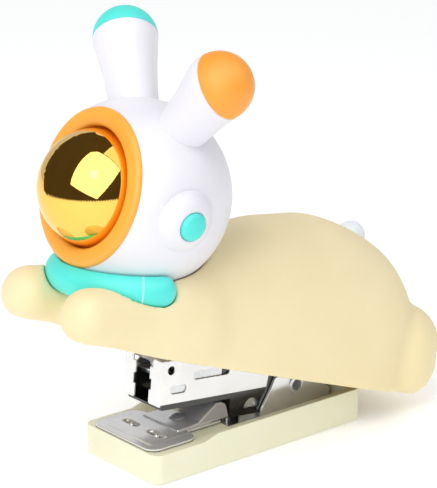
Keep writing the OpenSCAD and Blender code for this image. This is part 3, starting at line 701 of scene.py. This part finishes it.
def hood_form(p):
    """The bent spring hood between anvil and rail: a roof that rises to the back over slanted flanks."""
    x, y, z = p.T

    def block(inset):
        roof = (z - hood_roof(x)) * ROOF_SQUARE + inset
        flank = (np.abs(y) - HOOD_HALF + (z - HOOD_FOOT) * HOOD_SLANT) * FLANK_SQUARE + inset
        ends = np.maximum(HOOD_FRONT - x, x - HOOD_BACK + inset)
        return -melt(melt(-roof, -flank, 0.5), -ends, 0.4)

    shape = carve(block(0.0), block(HOOD_SHEET), 0.05)
    shape = np.maximum(shape, HOOD_FOOT - z)
    return carve(shape, np.hypot(x - HOOD_HOLE_X, y) - HOOD_HOLE_R, 0.1)


skin_piece("anvil_pressing", anvil_form, (-33.4, -12.8, 7.0), (-6.8, 12.8, 9.0), cell(0.2), WORLD,
           ANVIL_STEEL_PAINTED_SHADE, "base", ["anvil_plate"])
hood = skin_piece("spring_hood", hood_form, (-21.6, -7.8, 7.9), (-4.6, 7.8, 12.6), cell(0.16), WORLD,
                  STEEL, "base", ["leaf_spring"])
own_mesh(hood)
eased("hinge_bracket", "hinge_cheeks", 0.12, STEEL, "base")
eased("dome_rivet", "anvil_rivet", 0.08, STEEL, "base")
eased("hinge_pin", "hinge_tube", 0.08, STEEL, "base")
eased("magazine_channel", "magazine_pressing", 0.08, STEEL, "magazine")
eased("rail_carrier", "black_rail", 0.12, BLACK, "magazine")
eased("staple_core", "inner_rail", 0.08, BLACK, "magazine")
eased("pusher", "pusher_block", 0.15, BLACK, "pusher")
eased("handle_frame", "handle_pressing", 0.12, BLACK, "handle")
eased("driver_blade", "driver_sheet", 0.06, STEEL, "handle")


# ---------------------------------------------------------------- springs
def wire_piece(name, path, radius, place, material, body, stands_for, sides=10):
    """A round wire bent along a path of points."""
    bm = bmesh.new()
    path = [Vector(point) for point in path]
    across = Vector((0, 1, 0.3))
    rings = []
    for i, point in enumerate(path):
        along = (path[min(i + 1, len(path) - 1)] - path[max(i - 1, 0)]).normalized()
        across = (across - along * across.dot(along)).normalized()
        third = along.cross(across)
        rings.append([bm.verts.new(point + radius * (math.cos(a) * across + math.sin(a) * third))
                      for a in (2 * math.pi * k / sides for k in range(sides))])
    for low, high in zip(rings, rings[1:]):
        for k in range(sides):
            bm.faces.new((low[k], low[(k + 1) % sides], high[(k + 1) % sides], high[k]))
    bm.faces.new(rings[0][::-1])
    bm.faces.new(rings[-1])
    return new_piece(name, bm, place, material, body, stands_for, angle=60)


def reach_of(node, place):
    """Lowest and highest corner of a CAD part, measured in a moving part's own directions."""
    back = place.inverted()
    points = np.array([back @ (v.co / MM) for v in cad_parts[node].data.vertices])
    return points.min(0), points.max(0)


STEPS_A_WINDING = 24

low, high = reach_of("pusher_spring", MAGAZINE)
wire_r = 0.26
coil_r = (high[2] - low[2]) / 2 - wire_r
middle_z = (high[2] + low[2]) / 2
coil_long = high[0] - low[0]
windings = 20
spiral = []
for i in range(windings * STEPS_A_WINDING + 1):
    t = i / STEPS_A_WINDING
    spiral.append((low[0] + wire_r + (coil_long - 2 * wire_r) * t / windings,
                   coil_r * math.cos(2 * math.pi * t),
                   middle_z + coil_r * math.sin(2 * math.pi * t)))
coil = wire_piece("pusher_coil", spiral, wire_r, MAGAZINE, SPRING, "magazine",
                  ["pusher_spring"])
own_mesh(coil)

low, high = reach_of("torsion_spring", COVER)
wire_r, coil_r = 0.42, 2.95
half = high[1] - wire_r
wire_pitch = 0.92
windings = int(2 * half / wire_pitch)
leave = math.radians(51)
sweep = 2 * math.pi * windings + leave + math.pi / 2
count = STEPS_A_WINDING * windings
legs = [(-11.1, -half, -4.95), (-8, -half, -4.35), (-4, -half, -3.6)]
for i in range(count + 1):
    a = -math.pi / 2 + sweep * i / count
    legs.append((coil_r * math.cos(a), -half + 2 * half * i / count, coil_r * math.sin(a)))
legs += [(-4, half, 7.05), (-9.3, half, 11.35)]
torsion = wire_piece("return_coil", legs, wire_r, COVER, SPRING, None, ["torsion_spring"])
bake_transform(torsion)

for node, material in (("base_screws", STEEL), ("guide_rod", STEEL), ("staple_strip", WIRE),
                       ("cover_screws", STEEL), ("neck_screws", STEEL)):
    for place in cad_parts[node].material_slots:
        place.material = material


# ---------------------------------------------------------------- stage, light and camera
def stage_plane(name, size, location, look_at, material):
    """A flat sheet of the studio, facing a point or, without one, lying level."""
    mesh = bpy.data.meshes.new(name)
    w, h = size[0] / 2, size[1] / 2
    mesh.from_pydata([(-w, -h, 0), (w, -h, 0), (w, h, 0), (-w, h, 0)], [], [(0, 1, 2, 3)])
    mesh.materials.append(material)
    plane = bpy.data.objects.new(name, mesh)
    bpy.context.scene.collection.objects.link(plane)
    plane.location = location
    if look_at is not None:
        plane.rotation_euler = (Vector(look_at) - Vector(location)).to_track_quat("Z", "Y").to_euler()
    return plane


def plain(name, colour, rough):
    """An even finish for studio things."""
    mat = bpy.data.materials.new(name)
    mat.use_nodes = True
    shader = mat.node_tree.nodes["Principled BSDF"]
    shader.inputs["Base Color"].default_value = (*colour, 1)
    shader.inputs["Roughness"].default_value = rough
    return mat


def softbox(name, location, look_at, size, watts, colour=(1, 1, 1)):
    """A soft rectangular light that faces a point."""
    light = bpy.data.lights.new(name, "AREA")
    light.shape = "RECTANGLE"
    light.size, light.size_y = size
    light.energy = watts
    light.color = colour
    holder = bpy.data.objects.new(name, light)
    bpy.context.scene.collection.objects.link(holder)
    holder.location = location
    holder.rotation_euler = (Vector(look_at) - Vector(location)).to_track_quat("-Z", "Y").to_euler()
    return holder


def glossy_only(obj):
    """Seen in shiny surfaces alone: it shapes reflections and neither lights nor shades the scene."""
    obj.visible_camera = False
    obj.visible_diffuse = False
    obj.visible_shadow = False
    obj.visible_transmission = False
    obj.visible_volume_scatter = False


def towards(azimuth, elevation):
    """Unit vector from the object towards a compass direction, 0 being -Y and -90 being -X."""
    a, e = math.radians(azimuth), math.radians(elevation)
    return Vector((math.sin(a) * math.cos(e), -math.cos(a) * math.cos(e), math.sin(e)))


def glowing(name, strength, colour=(1, 1, 1)):
    """A black finish that gives off light."""
    mat = plain(name, (0, 0, 0), 1)
    shader = mat.node_tree.nodes["Principled BSDF"]
    shader.inputs["Emission Color"].default_value = (*colour, 1)
    shader.inputs["Emission Strength"].default_value = strength
    return mat


PAPER_GLOW = 0.22
paper = plain("studio_paper", (0.95, 0.95, 0.95), 0.8)
paper_shader = paper.node_tree.nodes["Principled BSDF"]
paper_shader.inputs["Emission Color"].default_value = (1, 1, 1, 1)
paper_shader.inputs["Emission Strength"].default_value = PAPER_GLOW
stage_plane("studio_floor", (8, 8), (0, 0, 0), None, paper)

# the dim room on the viewer's side, which the mirror-like parts reflect
ROOM_R = 0.34
room_axis = towards(-42, 34)
room_bm = bmesh.new()
bmesh.ops.create_icosphere(room_bm, subdivisions=5, radius=ROOM_R)
gone = [f for f in room_bm.faces if f.calc_center_median().normalized().angle(room_axis) > math.radians(98)
        or f.calc_center_median().z < 0.012]
bmesh.ops.delete(room_bm, geom=gone, context="FACES")
room_mesh = bpy.data.meshes.new("dim_room")
room_bm.to_mesh(room_mesh)
room_bm.free()
room_mesh.materials.append(plain("dim_room_walls", (0.055, 0.038, 0.02), 0.9))
room = bpy.data.objects.new("dim_room", room_mesh)
bpy.context.scene.collection.objects.link(room)
glossy_only(room)

HEAD_CENTRE = (-0.0274, 0, 0.0657)
for name, azimuth, elevation, distance, size, roll, strength in (
        ("window_panel", -43, 40, 0.20, (0.26, 0.32), 32, 2.4),
        ("window_bulb", -46, 38, 0.19, (0.045, 0.045), 0, 4.0),
        ("side_panel", 40, 50, 0.22, (0.12, 0.22), 12, 1.2)):
    stand = Vector(HEAD_CENTRE) + distance * towards(azimuth, elevation)
    panel = stage_plane(name, size, stand, HEAD_CENTRE, glowing(name + "_glow", strength))
    facing = panel.rotation_euler.to_matrix()
    panel.rotation_euler = (facing @ Matrix.Rotation(math.radians(roll), 3, "Z")).to_euler()
    glossy_only(panel)

centre = (-0.01, 0, 0.05)
key = softbox("key_softbox", 0.9 * towards(-66, 48), centre, (0.5, 0.5), 3.3, (1.0, 0.99, 0.97))
key.visible_glossy = False
sky = bpy.data.lights.new("ceiling_wash", "SUN")
sky.energy = 0.3
sky.angle = math.radians(120)
ceiling = bpy.data.objects.new("ceiling_wash", sky)
bpy.context.scene.collection.objects.link(ceiling)
ceiling.visible_glossy = False

world = bpy.data.worlds.new("studio_air")
bpy.context.scene.world = world
world.use_nodes = True
world.node_tree.nodes["Background"].inputs["Color"].default_value = (0.98, 0.99, 1, 1)
world.node_tree.nodes["Background"].inputs["Strength"].default_value = 0.66

camera_data = bpy.data.cameras.new("front_corner_camera")
camera_data.lens = 119.1
camera_data.sensor_width = 36
camera = bpy.data.objects.new("front_corner_camera", camera_data)
bpy.context.scene.collection.objects.link(camera)
camera.location = (-0.2417, -0.2852, 0.1527)
aim = Vector((-0.002565, 0, 0.04958)) - camera.location
camera.rotation_euler = aim.to_track_quat("-Z", "Y").to_euler()
bpy.context.scene.camera = camera
bpy.context.scene.view_settings.view_transform = "Standard"
